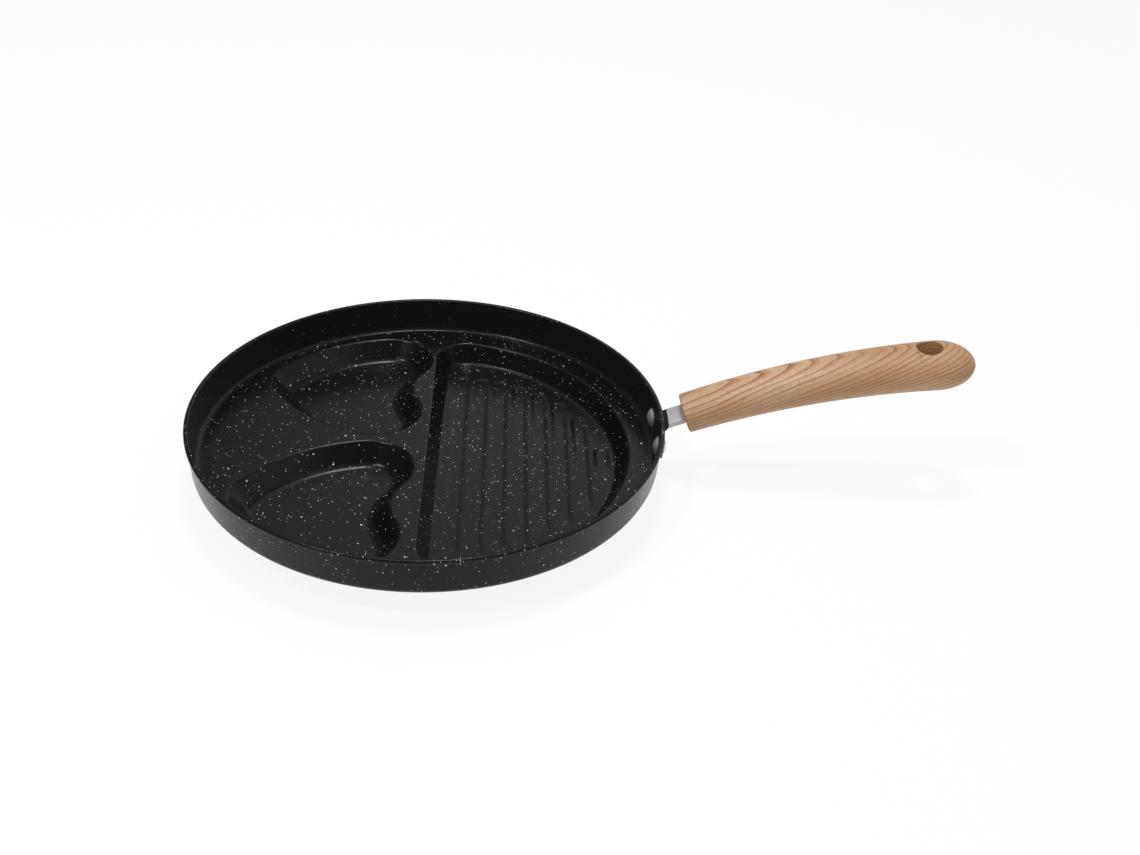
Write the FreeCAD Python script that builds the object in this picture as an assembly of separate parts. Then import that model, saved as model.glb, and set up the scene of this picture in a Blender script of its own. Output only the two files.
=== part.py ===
"""Divided frying pan: a round dish with two heart wells, a ribbed D well and a wooden handle.

Millimetres. The origin is on the table at the centre of the dish, +Z is up, and the handle
points along +X, turned a little towards +Y.
"""
import FreeCAD
import Part
import math
import os

# Dish
rim_radius = 140.0
rim_width = 2.8
rim_depth = 2.7
rim_edge_round = 0.7
overall_height = 38.5
plateau_depth = 22.5
skin = 1.8
wall_draft = 2.5
inner_foot_round = 2.5
outer_foot_round = 4.5

# Wells
base_thickness = 3.4
well_lip_round = 2.0
well_underside_round = 4.0
heart_draft = 38.0
heart_foot_round = 5.0
grill_draft = 27.0
grill_foot_round = 3.5

# Heart outline: two lobes, a notch, a tip and two long sides, all arcs
lobe_radius = 27.1
lobe_offset = 31.0
notch_radius = 30.0
tip_radius = 22.5
tip_distance = 49.5
side_radius = 99.2
heart_turn = -2.75
rear_heart_x = -32.7
rear_heart_y = 63.0
front_heart_x = -36.3
front_heart_y = -60.3

# Outline of the D well
grill_radius = 120.3
grill_edge_x = -1.2
grill_corner_radius = 20.0

# Valleys of the grill floor
valley_count = 8
valley_width = 7.9
rib_width = 4.79
valley_depth = 1.6
valley_draft = 45.0
valley_corner = 1.6
first_valley_x = 16.35
valley_reach = 94.0
valley_reach_centre_x = 16.5

# Facets of each rounding and dome, and straight steps along the handle
round_steps = 2
dome_steps = 3
grip_steps = 5

# Handle direction, seen from above
handle_turn = 1.0

# Bracket of bent steel strip
strip_thickness = 2.9
strap_width = 16.8
strap_rise = 22.4
strap_bend_radius = 2.0
pad_thickness = 2.2
pad_width = 45.0
pad_height = 13.6
pad_corner = 4.0
pad_below_rim = 5.6
tang_length = 40.0

# Rivets
rivet_spread = 13.0
rivet_below_rim = 13.2
rivet_head_diameter = 12.0
rivet_head_height = 2.6
rivet_shank_diameter = 5.0
rivet_end_diameter = 8.4
rivet_end_height = 1.7

# Wooden handle
handle_beyond_rim = 12.5
handle_start_below_rim = -0.45
handle_arch_radius = 548.7
handle_length = 175.0
handle_front_width = 29.0
handle_front_height = 21.4
handle_back_width = 36.3
handle_back_height = 26.9
handle_end_length = 23.0
handle_front_round = 1.2
handle_front_shares = (0.0, 0.3)
handle_end_angles = (0, 25, 48, 68, 83)
handle_side_angles = (-45, 45, 135, 225, 315)
hang_hole_diameter = 15.4
hang_hole_from_end = 28.0

# Screw that holds the handle on the tang
screw_from_front = 20.0
screw_diameter = 3.5
screw_head_diameter = 7.0
screw_head_height = 2.2
screw_sunk = 0.5
screw_above_tang = 4.0
recess_length = 3.6
recess_width = 0.8
recess_depth = 1.2

# Clearances
seat_gap = 0.06
hole_gap = 0.1
tang_gap = 0.2

# Reach of a cut past what it goes through, and a distance taken for none
overlap = 1.0
drill_reach = 6.0
tiny = 0.001

# Worked out from the values above
plateau_top = overall_height - plateau_depth
plateau_under = plateau_top - skin
rim_inner_radius = rim_radius - rim_width
wall_slope = math.tan(math.radians(wall_draft))
wall_across = skin / math.cos(math.radians(wall_draft))


def wall_inner_radius(height):
    return rim_inner_radius - (overall_height - height) * wall_slope


def wall_outer_radius(height):
    return wall_inner_radius(height) + wall_across


def polygon_face(points):
    return Part.Face(Part.makePolygon(points + [points[0]]))


def ring(points):
    face = polygon_face([FreeCAD.Vector(radius, 0, height) for radius, height in points])
    return face.revolve(FreeCAD.Vector(0, 0, 0), FreeCAD.Vector(0, 0, 1), 360)


def rounded(corners):
    """Points of a line through corners (across, height, rounding radius)."""
    points = [corners[0][:2]]
    for before, corner, after in zip(corners, corners[1:], corners[2:]):
        points.extend(rounded_corner(before, corner, after))
    points.append(corners[-1][:2])
    return points


def rounded_corner(before, corner, after):
    radius = corner[2]
    if radius == 0:
        return [corner[:2]]
    back_way = direction(corner, before)
    spread = math.remainder(direction(corner, after) - back_way, 2 * math.pi)
    half = abs(spread) / 2
    centre = polar(corner, radius / math.sin(half), back_way + spread / 2)
    start = direction(centre, polar(corner, radius / math.tan(half), back_way))
    turn = math.copysign(math.pi - 2 * half, -spread)
    return [polar(centre, radius, start + turn * step / round_steps) for step in range(round_steps + 1)]


def polar(centre, radius, angle):
    x = centre[0] + radius * math.cos(angle)
    y = centre[1] + radius * math.sin(angle)
    return (x, y)


def direction(start, end):
    return math.atan2(end[1] - start[1], end[0] - start[0])


def turn_between(start, end):
    """Anticlockwise turn from one direction to another."""
    return (end - start) % (2 * math.pi)


# An outline is a list of arcs (centre, radius, start, turn), where a clockwise turn is negative.
# Straight edges join the arcs that don't meet. An inset makes the outline smaller all round.
def arc_point(arc, inset, share, height):
    centre, radius, start, turn = arc
    inset_radius = radius - math.copysign(1.0, turn) * inset
    x, y = polar(centre, inset_radius, start + turn * share)
    return FreeCAD.Vector(x, y, height)


def outline_wire(arcs, inset, height):
    edges = []
    for index, arc in enumerate(arcs):
        first, middle, last = [arc_point(arc, inset, share, height) for share in (0.0, 0.5, 1.0)]
        following = arc_point(arcs[(index + 1) % len(arcs)], inset, 0.0, height)
        edges.append(Part.Arc(first, middle, last).toShape())
        if last.distanceToPoint(following) > tiny:
            edges.append(Part.makeLine(last, following))
    return Part.Wire(edges)


def flats_between(arc, following, rows):
    """Sloping flats of the straight run from one arc to the next, where they don't meet."""
    inset, height = rows[0]
    run_end = arc_point(following, inset, 0.0, height)
    if arc_point(arc, inset, 1.0, height).distanceToPoint(run_end) < tiny:
        return []
    flats = []
    for low, high in zip(rows, rows[1:]):
        low_side = [arc_point(arc, low[0], 1.0, low[1]), arc_point(following, low[0], 0.0, low[1])]
        high_side = [arc_point(following, high[0], 0.0, high[1]), arc_point(arc, high[0], 1.0, high[1])]
        flats.append(polygon_face(low_side + high_side))
    return flats


def stacked(arcs, rows):
    """Solid whose level outlines are the arcs at each row's inset and height."""
    faces = []
    for index, arc in enumerate(arcs):
        centre, radius, start, turn = arc
        line = Part.makePolygon([arc_point(arc, inset, 0.0, height) for inset, height in rows])
        axis_point = FreeCAD.Vector(centre[0], centre[1], 0)
        faces.extend(line.revolve(axis_point, FreeCAD.Vector(0, 0, 1), math.degrees(turn)).Faces)
        faces.extend(flats_between(arc, arcs[(index + 1) % len(arcs)], rows))
    faces.append(Part.Face(outline_wire(arcs, *rows[0])))
    faces.append(Part.Face(outline_wire(arcs, *rows[-1])))
    shell = Part.makeShell(faces)
    shell.sewShape()
    solid = Part.makeSolid(Part.Shell(shell.Faces))
    if solid.Volume < 0:
        solid.reverse()
    return solid


def heart_arcs():
    """Two lobes, two long sides, a tip pointing along -X, and a notch that bends the other way."""
    lobe = (0.0, lobe_offset)
    lower_lobe = (0.0, -lobe_offset)
    notch = (math.sqrt((lobe_radius + notch_radius) ** 2 - lobe_offset ** 2), 0.0)
    tip = (-tip_distance, 0.0)
    side = side_centre(lobe, tip)
    lower_side = (side[0], -side[1])
    notch_angle = direction(lobe, notch)
    side_angle = direction(side, lobe)
    tip_angle = direction(side, tip)
    return [
        (lobe, lobe_radius, notch_angle, turn_between(notch_angle, side_angle)),
        (side, side_radius, side_angle, turn_between(side_angle, tip_angle)),
        (tip, tip_radius, tip_angle, turn_between(tip_angle, -tip_angle)),
        (lower_side, side_radius, -tip_angle, turn_between(-tip_angle, -side_angle)),
        (lower_lobe, lobe_radius, -side_angle, turn_between(-side_angle, -notch_angle)),
        (notch, notch_radius, math.pi - notch_angle, 2 * notch_angle),
    ]


def side_centre(lobe, tip):
    """Centre of the long side's arc, which touches the lobe and the tip from outside."""
    to_lobe = side_radius - lobe_radius
    to_tip = side_radius - tip_radius
    span = math.hypot(lobe[0] - tip[0], lobe[1] - tip[1])
    along = (to_tip ** 2 - to_lobe ** 2 + span ** 2) / (2 * span)
    aside = math.sqrt(to_tip ** 2 - along ** 2)
    heading = direction(tip, lobe)
    foot = polar(tip, along, heading)
    return polar(foot, aside, heading - math.pi / 2)


def grill_arcs():
    """D outline: the round side, two corners and a straight edge that divides the dish."""
    corner_x = grill_edge_x + grill_corner_radius
    corner_y = math.sqrt((grill_radius - grill_corner_radius) ** 2 - corner_x ** 2)
    round_angle = direction((0.0, 0.0), (corner_x, corner_y))
    corner_turn = math.pi - round_angle
    return [
        ((0.0, 0.0), grill_radius, -round_angle, 2 * round_angle),
        ((corner_x, corner_y), grill_corner_radius, round_angle, corner_turn),
        ((corner_x, -corner_y), grill_corner_radius, math.pi, corner_turn),
    ]


def well_hollow(arcs, draft, foot_round):
    """Inside of a well with a rounded foot and lip, standing a little out of the plateau."""
    foot = (plateau_top - base_thickness) * math.tan(math.radians(draft))
    corners = [
        (foot + overlap, base_thickness, 0),
        (foot, base_thickness, foot_round),
        (0.0, plateau_top, well_lip_round),
        (-overlap, plateau_top, 0),
    ]
    rows = rounded(corners)[1:-1]
    rows.append((rows[-1][0], plateau_top + overlap))
    return stacked(arcs, rows)


def well_shell(arcs, draft):
    """Outside of a well, one skin away from its inside, reaching into the plateau."""
    slope = math.tan(math.radians(draft))
    outset = skin / math.cos(math.radians(draft))
    foot = plateau_top * slope - outset
    top = plateau_top - skin / 2
    corners = [
        (foot + overlap, 0.0, 0),
        (foot, 0.0, well_underside_round),
        (skin / 2 * slope - outset, top, 0),
    ]
    return stacked(arcs, rounded(corners)[1:])


def place_heart(shape, x, y):
    placed = shape.copy()
    placed.rotate(FreeCAD.Vector(0, 0, 0), FreeCAD.Vector(0, 0, 1), heart_turn)
    placed.translate(FreeCAD.Vector(x, y, 0))
    return placed


def valley_half_length(x):
    """Valleys end on a circle round a point beside the dish's centre."""
    outer_x = x + valley_width / 2
    return math.sqrt(valley_reach ** 2 - (outer_x - valley_reach_centre_x) ** 2)


def valley_outline(x, inset, height):
    """Long rectangle with cut corners."""
    half_x = valley_width / 2 - inset
    half_y = valley_half_length(x) - inset
    points = []
    for side_x, side_y in ((1, 1), (-1, 1), (-1, -1), (1, -1)):
        on_end = FreeCAD.Vector(x + side_x * (half_x - valley_corner), side_y * half_y, height)
        on_side = FreeCAD.Vector(x + side_x * half_x, side_y * (half_y - valley_corner), height)
        points.extend([on_side, on_end] if side_x == side_y else [on_end, on_side])
    return Part.makePolygon(points + [points[0]])


def valley(index):
    """One groove of the grill floor, with sloping sides centred on half its depth."""
    x = first_valley_x + index * (valley_width + rib_width)
    slope = math.tan(math.radians(valley_draft))
    half_depth = valley_depth / 2
    above = valley_depth / 4
    bottom = valley_outline(x, half_depth * slope, base_thickness - valley_depth)
    top = valley_outline(x, -(half_depth + above) * slope, base_thickness + above)
    return Part.makeLoft([bottom, top], True, True)


def dish():
    """Round dish with a stepped rim, before its wells."""
    lip_under = overall_height - rim_depth
    corners = [
        (0.0, plateau_under, 0),
        (wall_outer_radius(plateau_under), plateau_under, outer_foot_round),
        (wall_outer_radius(lip_under), lip_under, 0),
        (rim_radius, lip_under, rim_edge_round),
        (rim_radius, overall_height, rim_edge_round),
        (rim_inner_radius, overall_height, rim_edge_round),
        (wall_inner_radius(plateau_top), plateau_top, inner_foot_round),
        (0.0, plateau_top, 0),
    ]
    return ring(rounded(corners))


def pan_body():
    """Cast pan: dish, wells with their undersides, grill valleys and two rivet holes."""
    heart_hollow = well_hollow(heart_arcs(), heart_draft, heart_foot_round)
    heart_shell = well_shell(heart_arcs(), heart_draft)
    hearts = [(rear_heart_x, rear_heart_y), (front_heart_x, front_heart_y)]
    body = dish().fuse(well_shell(grill_arcs(), grill_draft))
    for x, y in hearts:
        body = body.fuse(place_heart(heart_shell, x, y))
    for x, y in hearts:
        body = body.cut(place_heart(heart_hollow, x, y))
    body = body.cut(well_hollow(grill_arcs(), grill_draft, grill_foot_round))
    for index in range(valley_count):
        body = body.cut(valley(index))
    for side in (-1, 1):
        body = body.cut(rivet_place(rivet_bore(), side))
    return body


def to_handle_turn(shape):
    shape.rotate(FreeCAD.Vector(0, 0, 0), FreeCAD.Vector(0, 0, 1), handle_turn)
    return shape


def rivet_place(shape, side):
    """Put a rivet drawn along +X, with its zero on the dish's axis, square to the wall."""
    height = overall_height - rivet_below_rim
    half_spread = rivet_spread / 2 * side
    shape.rotate(FreeCAD.Vector(wall_inner_radius(height), 0, 0), FreeCAD.Vector(0, 1, 0), wall_draft)
    shape.translate(FreeCAD.Vector(0, 0, height))
    shape.rotate(FreeCAD.Vector(0, 0, 0), FreeCAD.Vector(0, 0, 1), half_spread + handle_turn)
    return shape


def cylinder_along_x(radius, start, end):
    origin = FreeCAD.Vector(start, 0, 0)
    return Part.makeCylinder(radius, end - start, origin, FreeCAD.Vector(1, 0, 0))


def rivet_bore():
    height = overall_height - rivet_below_rim
    start = wall_inner_radius(height) - drill_reach
    end = wall_outer_radius(height) + pad_thickness + drill_reach
    return cylinder_along_x(rivet_shank_diameter / 2 + hole_gap, start, end)


def dome(radius, rise):
    """Points (out, across) of a dome from its edge to its middle."""
    ball_radius = (radius ** 2 + rise ** 2) / (2 * rise)
    edge_angle = math.asin(radius / ball_radius)
    points = []
    for step in range(dome_steps + 1):
        angle = edge_angle * (1 - step / dome_steps)
        points.append(polar((rise - ball_radius, 0), ball_radius, angle))
    return points


def rivet(side):
    """Rivet with a domed head inside the dish and a flatter formed end on the bracket."""
    height = overall_height - rivet_below_rim
    inner_radius = wall_inner_radius(height)
    head_radius = rivet_head_diameter / 2
    head_seat = inner_radius - head_radius ** 2 / (2 * inner_radius) - seat_gap
    end_seat = wall_outer_radius(height) + seat_gap + pad_thickness + seat_gap
    outline = []
    for out, across in reversed(dome(head_radius, rivet_head_height)):
        outline.append(FreeCAD.Vector(head_seat - out, 0, across))
    outline.append(FreeCAD.Vector(head_seat, 0, rivet_shank_diameter / 2))
    outline.append(FreeCAD.Vector(end_seat, 0, rivet_shank_diameter / 2))
    for out, across in dome(rivet_end_diameter / 2, rivet_end_height):
        outline.append(FreeCAD.Vector(end_seat + out, 0, across))
    turned = polygon_face(outline).revolve(FreeCAD.Vector(0, 0, 0), FreeCAD.Vector(1, 0, 0), 360)
    return rivet_place(turned, side)


def handle_front():
    """Point where the strap enters the wood, on the strap's middle plane."""
    return (rim_radius + handle_beyond_rim, overall_height - handle_start_below_rim)


def strap_side(offset):
    """One side of the strap's side view: a leg, the bend and a straight run to the tang's end."""
    rise = math.radians(strap_rise)
    front_x, front_z = handle_front()
    leg_x = leg_middle_radius()
    corner_z = front_z - (front_x - leg_x) * math.tan(rise)
    bend = math.pi / 2 - rise
    middle_radius = strap_bend_radius + strip_thickness / 2
    centre = (leg_x + middle_radius, corner_z - middle_radius * math.tan(bend / 2))
    turned = []
    for share in (0.0, 0.5, 1.0):
        x, z = polar(centre, middle_radius + offset, math.pi - bend * share)
        turned.append(FreeCAD.Vector(x, 0, z))
    leg = FreeCAD.Vector(turned[0].x, 0, overall_height - pad_below_rim - overlap)
    tip_x = front_x + tang_length * math.cos(rise) - offset * math.sin(rise)
    tip_z = front_z + tang_length * math.sin(rise) + offset * math.cos(rise)
    tip = FreeCAD.Vector(tip_x, 0, tip_z)
    edges = [Part.makeLine(leg, turned[0]), Part.Arc(*turned).toShape(), Part.makeLine(turned[2], tip)]
    return leg, tip, edges


def strap_profile():
    half = strip_thickness / 2
    upper_leg, upper_tip, upper_edges = strap_side(half)
    lower_leg, lower_tip, lower_edges = strap_side(-half)
    ends = [Part.makeLine(upper_leg, lower_leg), Part.makeLine(upper_tip, lower_tip)]
    outline = Part.__sortEdges__(upper_edges + lower_edges + ends)
    return Part.Face(Part.Wire(outline))


def leg_middle_radius():
    top = overall_height - pad_below_rim
    return wall_outer_radius(top) + seat_gap + strip_thickness / 2


def bracket_pad():
    """Curved plate against the outside of the wall, with rounded corners."""
    top = overall_height - pad_below_rim
    bottom = top - pad_height
    section = []
    for height, across in ((bottom, 0), (top, 0), (top, pad_thickness), (bottom, pad_thickness)):
        radius = wall_outer_radius(height) + seat_gap + across
        section.append(FreeCAD.Vector(radius, 0, height))
    half_angle = math.degrees(math.asin((pad_width / 2 + overlap) / rim_radius))
    axis = FreeCAD.Vector(0, 0, 1)
    plate = polygon_face(section).revolve(FreeCAD.Vector(0, 0, 0), axis, 2 * half_angle)
    plate.rotate(FreeCAD.Vector(0, 0, 0), axis, -half_angle)
    window = Part.makeBox(rim_radius, pad_width, pad_height)
    window.translate(FreeCAD.Vector(rim_radius / 2, -pad_width / 2, bottom))
    corners = [edge for edge in window.Edges if edge.BoundBox.XLength > rim_radius / 2]
    return plate.common(window.makeFillet(pad_corner, corners))


def handle_bracket():
    """Bent steel strip: riveted pad, sloping strap and the tang inside the wood."""
    strap = strap_profile().extrude(FreeCAD.Vector(0, strap_width, 0))
    strap.translate(FreeCAD.Vector(0, -strap_width / 2, 0))
    bracket = to_handle_turn(bracket_pad().fuse(strap))
    for side in (-1, 1):
        bracket = bracket.cut(rivet_place(rivet_bore(), side))
    return bracket.cut(screw_place(screw_bore()))


def handle_station(distance):
    """Point of the handle's middle line and the line's rise there."""
    front_x, front_z = handle_front()
    start = math.radians(strap_rise)
    rise = start - distance / handle_arch_radius
    x = front_x + handle_arch_radius * (math.sin(start) - math.sin(rise))
    z = front_z + handle_arch_radius * (math.cos(rise) - math.cos(start))
    return x, z, rise


def handle_size(distance):
    """Half width and half height of the oval section, drawn in at the handle's two ends."""
    full_length = handle_length - handle_end_length
    share = min(distance / full_length, 1.0)
    half_width = (handle_front_width + (handle_back_width - handle_front_width) * share) / 2
    half_height = (handle_front_height + (handle_back_height - handle_front_height) * share) / 2
    into_front = max(0.0, 1 - distance / handle_front_round)
    drawn_in = handle_front_round * (1 - math.sqrt(1 - into_front ** 2))
    into_end = max(0.0, (distance - full_length) / handle_end_length)
    narrowing = math.sqrt(1 - into_end ** 2)
    return (half_width - drawn_in) * narrowing, (half_height - drawn_in) * narrowing


def handle_placement(distance):
    """Placement with X across the handle, Y up out of it and Z along it."""
    x, z, rise = handle_station(distance)
    along = FreeCAD.Vector(math.cos(rise), 0, math.sin(rise))
    upward = FreeCAD.Vector(-math.sin(rise), 0, math.cos(rise))
    rotation = FreeCAD.Rotation(FreeCAD.Vector(0, 1, 0), upward, along, "ZXY")
    return FreeCAD.Placement(FreeCAD.Vector(x, 0, z), rotation)


def handle_section(distance):
    """Oval of four arcs, so that a hole cuts into one side of the handle's four."""
    half_width, half_height = handle_size(distance)
    oval = Part.Ellipse(FreeCAD.Vector(0, 0, 0), half_width, half_height)
    corners = [math.radians(angle) for angle in handle_side_angles]
    arcs = [oval.toShape(start, end) for start, end in zip(corners, corners[1:])]
    for arc in arcs:
        arc.Placement = handle_placement(distance)
    return Part.Wire(arcs)


def handle_distances():
    """Where the handle's sections stand: close together at its rounded ends."""
    full_length = handle_length - handle_end_length
    distances = [handle_front_round * share for share in handle_front_shares]
    for step in range(grip_steps):
        distances.append(handle_front_round + (full_length - handle_front_round) * step / grip_steps)
    for angle in handle_end_angles:
        distances.append(full_length + handle_end_length * math.sin(math.radians(angle)))
    return distances


def handle():
    """Turned and arched wooden grip with a hang hole, a tang slot and a screw hole."""
    sections = [handle_section(distance) for distance in handle_distances()]
    wood = Part.makeLoft(sections, True, True)
    wood = wood.cut(handle_tool(hang_hole_diameter / 2, handle_length - hang_hole_from_end))
    wood = wood.cut(tang_slot())
    return to_handle_turn(wood).cut(screw_place(screw_hole()))


def handle_tool(radius, distance):
    """Drill square to the middle line at a distance along the handle."""
    x, z, rise = handle_station(distance)
    reach = handle_back_height
    upward = FreeCAD.Vector(-math.sin(rise), 0, math.cos(rise))
    start = FreeCAD.Vector(x, 0, z) - upward * reach
    return Part.makeCylinder(radius, 2 * reach, start, upward)


def tang_slot():
    front_x, front_z = handle_front()
    slot = Part.makeBox(
        tang_length + tang_gap + overlap,
        strap_width + 2 * tang_gap,
        strip_thickness + 2 * tang_gap,
    )
    slot.translate(FreeCAD.Vector(-overlap, -strap_width / 2 - tang_gap, -strip_thickness / 2 - tang_gap))
    slot.rotate(FreeCAD.Vector(0, 0, 0), FreeCAD.Vector(0, 1, 0), -strap_rise)
    slot.translate(FreeCAD.Vector(front_x, 0, front_z))
    return slot


def screw_head_low():
    """Height of the screw head's outer face, measured along the screw from the tang's middle."""
    return screw_sunk - handle_size(screw_from_front)[1]


def screw_place(shape):
    """Put a screw drawn along +Z, with its zero on the tang's middle plane, into the handle."""
    rise = math.radians(strap_rise)
    front_x, front_z = handle_front()
    x = front_x + screw_from_front * math.cos(rise)
    z = front_z + screw_from_front * math.sin(rise)
    shape.rotate(FreeCAD.Vector(0, 0, 0), FreeCAD.Vector(0, 1, 0), -strap_rise)
    shape.translate(FreeCAD.Vector(x, 0, z))
    return to_handle_turn(shape)


def upright_cylinder(radius, low, high):
    return Part.makeCylinder(radius, high - low, FreeCAD.Vector(0, 0, low))


def screw_cone(gap):
    head_radius = screw_head_diameter / 2 + gap
    shank_radius = screw_diameter / 2 + gap
    outer_face = FreeCAD.Vector(0, 0, screw_head_low())
    return Part.makeCone(head_radius, shank_radius, screw_head_height, outer_face)


def screw_bore():
    return upright_cylinder(screw_diameter / 2 + hole_gap, screw_head_low(), screw_above_tang + hole_gap)


def screw_hole():
    mouth_radius = screw_head_diameter / 2 + hole_gap
    mouth = upright_cylinder(mouth_radius, screw_head_low() - drill_reach, screw_head_low())
    return screw_bore().fuse(screw_cone(hole_gap)).fuse(mouth)


def handle_screw():
    """Countersunk screw from below through the wood and the tang, with a cross recess."""
    shank = upright_cylinder(screw_diameter / 2, screw_head_low(), screw_above_tang)
    screw = shank.fuse(screw_cone(0.0))
    for size_x, size_y in ((recess_length, recess_width), (recess_width, recess_length)):
        slot = Part.makeBox(size_x, size_y, recess_depth)
        slot.translate(FreeCAD.Vector(-size_x / 2, -size_y / 2, screw_head_low()))
        screw = screw.cut(slot)
    return screw_place(screw)


def export(name, shape):
    solids = shape.Solids
    print(name, "solids", len(solids), "valid", shape.isValid(), "volume", round(shape.Volume, 1))
    solids[0].exportStep("parts/" + name + ".step")


os.makedirs("parts", exist_ok=True)
export("pan_body", pan_body())
export("handle_bracket", handle_bracket())
export("rear_rivet", rivet(1))
export("front_rivet", rivet(-1))
export("handle", handle())
export("handle_screw", handle_screw())
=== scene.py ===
import bpy
import bmesh
import math
from mathutils import Matrix, Vector


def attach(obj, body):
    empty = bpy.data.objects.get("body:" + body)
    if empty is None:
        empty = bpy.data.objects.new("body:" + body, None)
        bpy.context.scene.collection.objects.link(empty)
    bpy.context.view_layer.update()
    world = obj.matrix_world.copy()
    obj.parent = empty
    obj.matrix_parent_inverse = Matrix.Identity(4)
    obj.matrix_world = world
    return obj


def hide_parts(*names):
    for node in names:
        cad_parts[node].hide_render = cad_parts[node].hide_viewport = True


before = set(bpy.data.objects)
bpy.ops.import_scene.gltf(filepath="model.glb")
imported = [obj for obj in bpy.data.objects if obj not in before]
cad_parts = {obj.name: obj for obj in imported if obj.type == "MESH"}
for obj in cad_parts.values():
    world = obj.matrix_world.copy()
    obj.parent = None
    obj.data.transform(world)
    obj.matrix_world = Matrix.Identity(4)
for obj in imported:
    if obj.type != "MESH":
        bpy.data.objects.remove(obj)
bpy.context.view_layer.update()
bpy.ops.object.select_all(action="DESELECT")
print("frame loaded")

# lengths are millimetres, angles degrees and noise scales per metre, unless a note says otherwise
mm = 0.001
weld = 0.002 * mm  # points closer than this are one point
fullTurn = 2 * math.pi
upAxis = (0, 0, 1)


# Modes, joins and selections

def settle(piece):
    # back to object mode with the place kept in the mesh
    if bpy.context.mode != "OBJECT":
        bpy.ops.object.mode_set(mode="OBJECT")
    bpy.ops.object.select_all(action="DESELECT")
    piece.select_set(True)
    bpy.context.view_layer.objects.active = piece
    bpy.ops.object.transform_apply(location=True, rotation=True, scale=True)


def joinPieces(pieces, name):
    bpy.ops.object.select_all(action="DESELECT")
    for piece in pieces:
        piece.select_set(True)
    bpy.context.view_layer.objects.active = pieces[0]
    bpy.ops.object.join()
    pieces[0].name = name
    return pieces[0]


def copyPiece(piece, name):
    settle(piece)
    bpy.ops.object.duplicate(linked=False)
    copied = bpy.context.object
    copied.name = name
    return copied


def smoothOver(piece, angle):
    settle(piece)
    bpy.ops.object.shade_smooth_by_angle(angle=math.radians(angle))


def selectEdges(test):
    bpy.ops.mesh.select_all(action="DESELECT")
    mesh = bmesh.from_edit_mesh(bpy.context.object.data)
    for edge in mesh.edges:
        if test(edge):
            edge.select_set(True)
    bmesh.update_edit_mesh(bpy.context.object.data)


def atHeight(edge, height):
    return all(abs(corner.co.z - height * mm) < weld for corner in edge.verts)


def isSharp(edge, least):
    return len(edge.link_faces) == 2 and edge.calc_face_angle() > math.radians(least)


def selectOpenAt(height):
    selectEdges(lambda edge: edge.is_boundary and atHeight(edge, height))


def fillAt(height):
    selectOpenAt(height)
    bpy.ops.mesh.fill(use_beauty=True)


def bevelEdges(test, width, segments):
    selectEdges(test)
    bpy.ops.mesh.bevel(offset=width * mm, segments=segments)


def extrudeBy(way):
    bpy.ops.mesh.extrude_region_move(TRANSFORM_OT_translate={"value": way})


def weldAll():
    bpy.ops.mesh.select_all(action="SELECT")
    bpy.ops.mesh.remove_doubles(threshold=weld)


def faceOutward():
    bpy.ops.mesh.select_all(action="SELECT")
    bpy.ops.mesh.normals_make_consistent(inside=False)


def closeStrip():
    # closes the square ends of a swept strip
    bpy.ops.mesh.select_all(action="SELECT")
    bpy.ops.mesh.fill_holes(sides=4)
    bpy.ops.mesh.normals_make_consistent(inside=False)


# Lines, and what is swept from them

def roundedLine(corners, steps):
    # corners are (across, up, radius), and the two ends have no radius
    points = [Vector(corners[0][:2])]
    for before, corner, after in zip(corners, corners[1:], corners[2:]):
        at = Vector(corner[:2])
        backWay = (Vector(before[:2]) - at).normalized()
        onWay = (Vector(after[:2]) - at).normalized()
        half = backWay.angle(onWay) / 2
        reach = corner[2] / math.tan(half)
        centre = at + (backWay + onWay).normalized() * corner[2] / math.sin(half)
        first = at + backWay * reach - centre
        last = at + onWay * reach - centre
        for step in range(steps + 1):
            points.append(centre + first.slerp(last, step / steps) * corner[2])
    points.append(Vector(corners[-1][:2]))
    return points


def drawLine(name, points):
    # one vertex, extruded from point to point, and left in edit mode
    bpy.ops.mesh.primitive_plane_add(size=mm, location=points[0])
    piece = bpy.context.object
    piece.name = name
    settle(piece)
    bpy.ops.object.mode_set(mode="EDIT")
    bpy.ops.mesh.select_all(action="SELECT")
    bpy.ops.mesh.merge(type="CENTER")
    for here, there in zip(points, points[1:]):
        extrudeBy(there - here)
    bpy.ops.mesh.select_all(action="SELECT")
    return piece


def arcEnds(arc):
    # an arc is its centre, its radius, and its start and turn in radians
    (x, y), radius, start, turn = arc
    return [
        Vector((x + radius * math.cos(a), y + radius * math.sin(a), 0)) * mm
        for a in (start, start + turn)
    ]


def sweepRound(arcs, finest=7, longest=4.0):
    # spins the selected line round each arc and extrudes it along the straight runs
    shortestRun = 0.01 * mm
    for index, arc in enumerate(arcs):
        (x, y), radius, start, turn = arc
        steps = math.ceil(max(abs(turn) / math.radians(finest), abs(turn) * radius / longest))
        bpy.ops.mesh.spin(steps=steps, angle=-turn, center=(x * mm, y * mm, 0), axis=upAxis)
        run = arcEnds(arcs[(index + 1) % len(arcs)])[0] - arcEnds(arc)[1]
        if run.length > shortestRun:
            extrudeBy(run)
    weldAll()


# Pan body

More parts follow.
